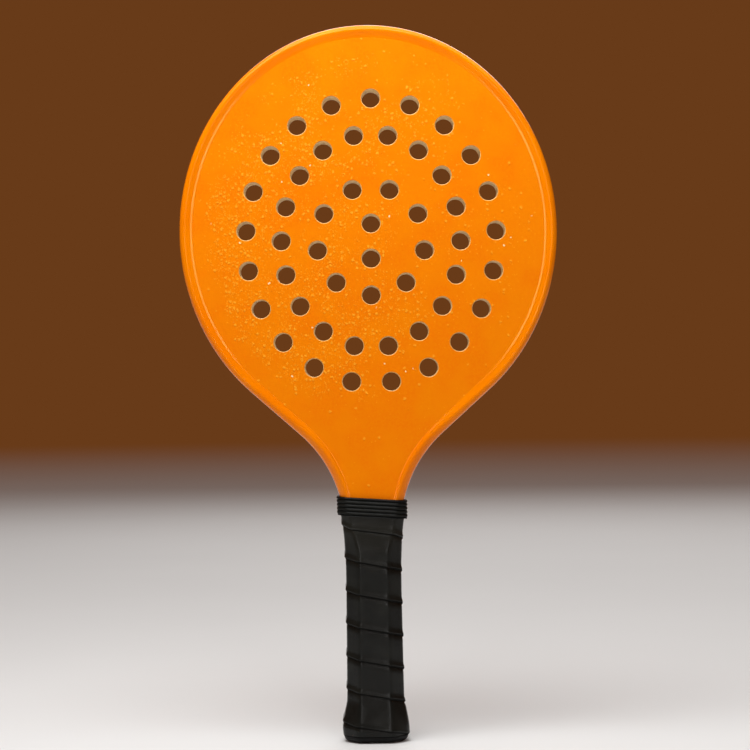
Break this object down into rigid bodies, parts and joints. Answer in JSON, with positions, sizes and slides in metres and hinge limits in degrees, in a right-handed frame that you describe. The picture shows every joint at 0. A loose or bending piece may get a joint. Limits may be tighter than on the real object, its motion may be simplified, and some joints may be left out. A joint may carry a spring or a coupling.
{
  "type": "beach tennis racket",
  "caption": "Beach tennis racket: drilled foam-cored face in a moulded rim, tapering through a throat to a ribbed collar and a spirally wrapped octagonal grip.",
  "frame": {"origin": "middle of the butt cap's flat end, which the racket stands on", "axes": "+Z along the racket from the butt to the top of the head, +X across the head, -Y out of the front face"},
  "size_m": [0.2534, 0.0367, 0.48],
  "materials": {
    "rim_lacquer": "glossy orange lacquer over carbon composite",
    "face_lacquer": "gritty satin orange lacquer with fine pale specks",
    "core_foam": "matt cream closed-cell foam, drilled",
    "handle_foam": "matt moulded foam",
    "black_plastic": "matt black moulded plastic",
    "staple_steel": "plain steel wire",
    "grip_wrap": "black synthetic leather strip, satin",
    "collar_rubber": "satin black ribbed rubber"
  },
  "bodies": {
    "root": {"frame_tube": "rim_lacquer", "front_face_skin": "face_lacquer", "rear_face_skin": "face_lacquer", "foam_core": "core_foam", "handle_core": "handle_foam", "front_pallet": "handle_foam", "rear_pallet": "handle_foam", "butt_cap": "black_plastic", "front_cap_staple": "staple_steel", "rear_cap_staple": "staple_steel", "grip_wrap": "grip_wrap", "finishing_tape": "black_plastic", "grip_collar": "collar_rubber"}
  },
  "joints": []
}
